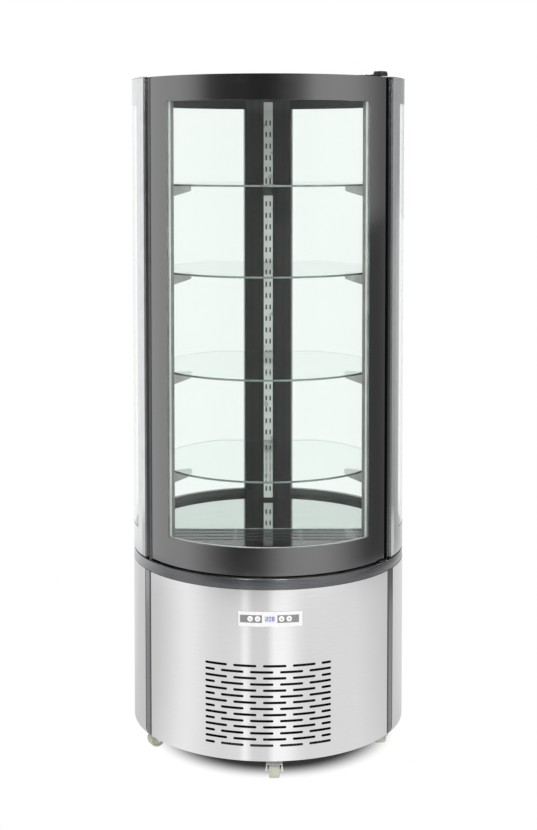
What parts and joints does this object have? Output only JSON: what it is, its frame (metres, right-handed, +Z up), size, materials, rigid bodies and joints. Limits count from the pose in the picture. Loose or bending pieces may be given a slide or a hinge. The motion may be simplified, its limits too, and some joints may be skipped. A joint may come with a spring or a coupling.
{
  "type": "cake display case",
  "caption": "Round refrigerated cake display case with a curved glass door, round glass shelves, a slotted stainless skirt and swivel casters.",
  "frame": {"origin": "centre of the round cabinet's plan, on the floor under the casters", "axes": "+Z up, -Y towards the front (the door), +X to the right of a person who faces the door"},
  "size_m": [0.7, 0.7, 1.7147],
  "materials": {
    "stainless": "brushed, semi-matt",
    "ring_steel": "dark brushed",
    "black_coat": "black, semi-gloss",
    "black_panel": "black, glossy, foam-filled",
    "glass": "clear",
    "frame_black": "black, glossy",
    "frame_silver": "satin silver",
    "rubber": "matt",
    "zinc": "bright zinc",
    "nylon": "cream nylon",
    "liner": "grey, foam-filled",
    "deck": "satin",
    "panel": "satin light grey",
    "button": "satin white",
    "display": "dark, glossy",
    "lamp": "white diffuser",
    "coil": "plain",
    "compressor": "black, semi-matt",
    "fan": "matt black"
  },
  "bodies": {
    "cabinet": {"air_grille": "black_coat", "base_plate": "stainless", "base_post_left": "ring_steel", "base_post_right": "ring_steel", "bracket_rail_left": "stainless", "bracket_rail_rear": "stainless", "bracket_rail_right": "stainless", "cabinet_floor": "liner", "ceiling_lamp": "lamp", "collar_ring": "ring_steel", "compressor": "compressor", "condenser": "coil", "control_panel": "panel", "deck_plate": "deck", "display_window": "display", "drip_tray": "coil", "evaporator": "coil", "fan_shroud": "black_coat", "hinge_bracket_bottom": "black_coat", "hinge_bracket_top": "black_coat", "rear_bracket_1": "black_coat", "rear_bracket_2": "black_coat", "rear_bracket_3": "black_coat", "rear_bracket_4": "black_coat", "rear_column": "black_coat", "roof": "black_panel", "shelf_1": "glass", "shelf_2": "glass", "shelf_3": "glass", "shelf_4": "glass", "side_frame_left": "frame_silver", "side_frame_right": "frame_silver", "side_glass_left": "glass", "side_glass_right": "glass", "side_inner_glass_left": "glass", "side_inner_glass_right": "glass", "skirt_front": "stainless", "skirt_rear": "stainless", "upright_left": "black_panel", "upright_right": "black_panel"},
    "door": {"door_glass": "glass", "door_frame": "frame_black", "door_inner_glass": "glass", "door_gasket": "rubber"},
    "caster_1": {"caster_fork_1": "zinc"},
    "wheel_1": {"caster_wheel_1": "nylon"},
    "caster_2": {"caster_fork_2": "zinc"},
    "wheel_2": {"caster_wheel_2": "nylon"},
    "caster_3": {"caster_fork_3": "zinc"},
    "wheel_3": {"caster_wheel_3": "nylon"},
    "caster_4": {"caster_fork_4": "zinc"},
    "wheel_4": {"caster_wheel_4": "nylon"},
    "caster_5": {"caster_fork_5": "zinc"},
    "wheel_5": {"caster_wheel_5": "nylon"},
    "button_1": {"button_1": "button"},
    "button_2": {"button_2": "button"},
    "button_3": {"button_3": "button"},
    "button_4": {"button_4": "button"},
    "condenser_fan": {"condenser_fan": "fan"},
    "evaporator_fan": {"evaporator_fan": "fan"}
  },
  "joints": [
    {"name": "door_hinge", "type": "hinge", "parent": "cabinet", "child": "door", "pos_m": [0.27497, -0.18155, 1.10305], "axis": [0, 0, 1], "range_deg": [0, 105]},
    {"name": "caster_swivel_1", "type": "hinge", "parent": "cabinet", "child": "caster_1", "pos_m": [0.01487, -0.29362, 0.0607], "axis": [0, 0, 1], "continuous": true},
    {"name": "wheel_roll_1", "type": "hinge", "parent": "caster_1", "child": "wheel_1", "pos_m": [0.01487, -0.30762, 0.02], "axis": [1, 0, 0], "continuous": true},
    {"name": "caster_swivel_2", "type": "hinge", "parent": "cabinet", "child": "caster_2", "pos_m": [0.28385, -0.07659, 0.0607], "axis": [0, 0, 1], "continuous": true},
    {"name": "wheel_roll_2", "type": "hinge", "parent": "caster_2", "child": "wheel_2", "pos_m": [0.28676, -0.09028, 0.02], "axis": [0.9781, 0.2079, 0], "continuous": true},
    {"name": "caster_swivel_3", "type": "hinge", "parent": "cabinet", "child": "caster_3", "pos_m": [0.16055, 0.24629, 0.0607], "axis": [0, 0, 1], "continuous": true},
    {"name": "wheel_roll_3", "type": "hinge", "parent": "caster_3", "child": "wheel_3", "pos_m": [0.16755, 0.25841, 0.02], "axis": [-0.866, 0.5, 0], "continuous": true},
    {"name": "caster_swivel_4", "type": "hinge", "parent": "cabinet", "child": "caster_4", "pos_m": [-0.18462, 0.2288, 0.0607], "axis": [0, 0, 1], "continuous": true},
    {"name": "wheel_roll_4", "type": "hinge", "parent": "caster_4", "child": "wheel_4", "pos_m": [-0.19054, 0.24149, 0.02], "axis": [-0.9063, -0.4226, 0], "continuous": true},
    {"name": "caster_swivel_5", "type": "hinge", "parent": "cabinet", "child": "caster_5", "pos_m": [-0.27466, -0.10488, 0.0607], "axis": [0, 0, 1], "continuous": true},
    {"name": "wheel_roll_5", "type": "hinge", "parent": "caster_5", "child": "wheel_5", "pos_m": [-0.28702, -0.11145, 0.02], "axis": [0.4695, -0.8829, 0], "continuous": true},
    {"name": "button_press_1", "type": "slide", "parent": "cabinet", "child": "button_1", "axis": [0.124, 0.9923, 0], "range_m": [0, 0.0012], "stiffness_N_per_m": 300},
    {"name": "button_press_2", "type": "slide", "parent": "cabinet", "child": "button_2", "axis": [0.0728, 0.9973, 0], "range_m": [0, 0.0012], "stiffness_N_per_m": 300},
    {"name": "button_press_3", "type": "slide", "parent": "cabinet", "child": "button_3", "axis": [-0.0921, 0.9957, 0], "range_m": [0, 0.0012], "stiffness_N_per_m": 300},
    {"name": "button_press_4", "type": "slide", "parent": "cabinet", "child": "button_4", "axis": [-0.1443, 0.9895, 0], "range_m": [0, 0.0012], "stiffness_N_per_m": 300},
    {"name": "condenser_fan_spin", "type": "hinge", "parent": "cabinet", "child": "condenser_fan", "pos_m": [0, -0.1897, 0.1685], "axis": [0, 1, 0], "continuous": true},
    {"name": "evaporator_fan_spin", "type": "hinge", "parent": "cabinet", "child": "evaporator_fan", "pos_m": [0, -0.003, 0.4725], "axis": [0, 1, 0], "continuous": true}
  ]
}
